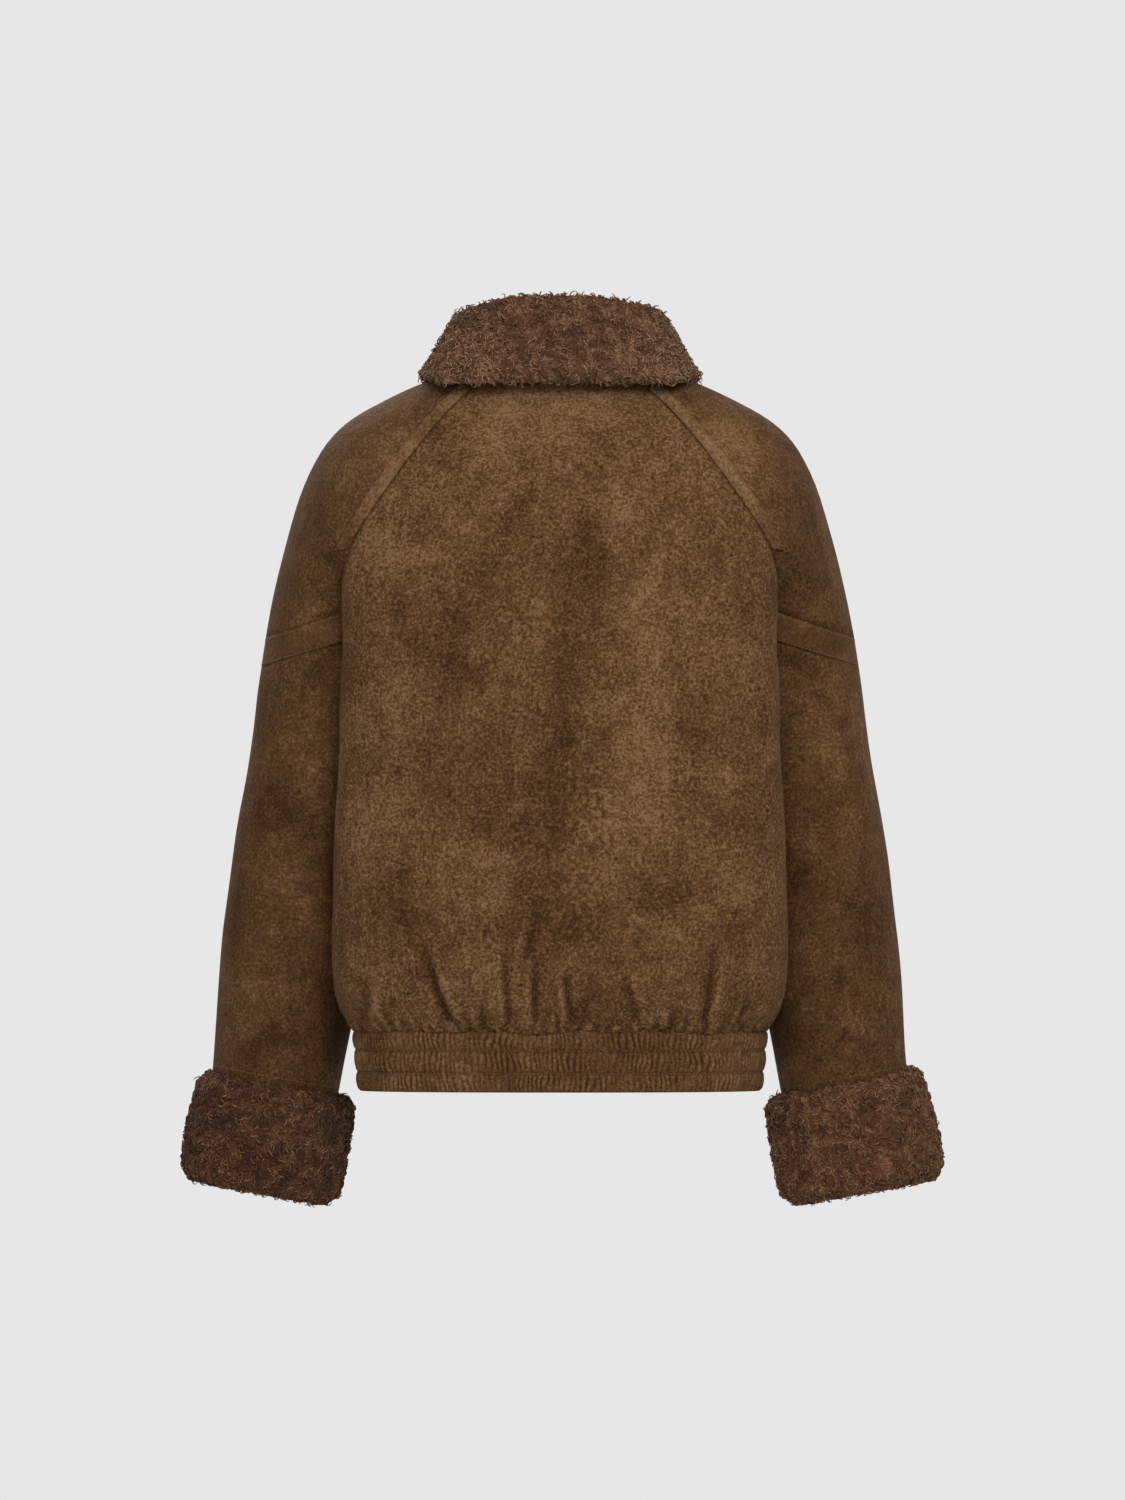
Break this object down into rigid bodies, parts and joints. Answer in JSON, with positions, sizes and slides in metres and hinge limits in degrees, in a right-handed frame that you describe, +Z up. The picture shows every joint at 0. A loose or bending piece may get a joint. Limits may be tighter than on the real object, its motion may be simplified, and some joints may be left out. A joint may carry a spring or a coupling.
{
  "type": "suede jacket",
  "caption": "Hollow raglan-sleeved bomber jacket in suede, with a turned-down shearling collar, shearling cuffs, a shirred hem band and a front zip.",
  "frame": {"origin": "the point between the wearer's shoulders, just under the back of the neck, where the jacket hangs from its wearer", "axes": "+Z up the wearer's back, +Y out of the chest towards the front, +X to the wearer's right"},
  "size_m": [0.6628, 0.2939, 0.7985],
  "materials": {
    "suede": "brushed suede with a short matt nap",
    "shearling": "curly wool pile",
    "zip_tape": "woven tape",
    "zip_metal": "aged and softly brushed"
  },
  "bodies": {
    "jacket": {"back": "suede", "collar": "shearling", "cuff_left": "shearling", "cuff_right": "shearling", "front_left": "suede", "front_right": "suede", "hem_back": "suede", "hem_front_left": "suede", "hem_front_right": "suede", "raglan_welt_back_left": "suede", "raglan_welt_back_right": "suede", "raglan_welt_front_left": "suede", "raglan_welt_front_right": "suede", "sleeve_band_left": "suede", "sleeve_band_right": "suede", "sleeve_lower_left": "suede", "sleeve_lower_right": "suede", "sleeve_upper_left": "suede", "sleeve_upper_right": "suede", "zip_bail": "zip_metal", "zip_slider": "zip_metal", "zip_tape_left": "zip_tape", "zip_tape_right": "zip_tape"},
    "pull_tab": {"zip_pull_tab": "zip_metal"}
  },
  "joints": [
    {"name": "pull_tab_swing", "type": "hinge", "parent": "jacket", "child": "pull_tab", "pos_m": [0, 0.08766, -0.05873], "axis": [1, 0, 0], "range_deg": [0, 150]}
  ]
}
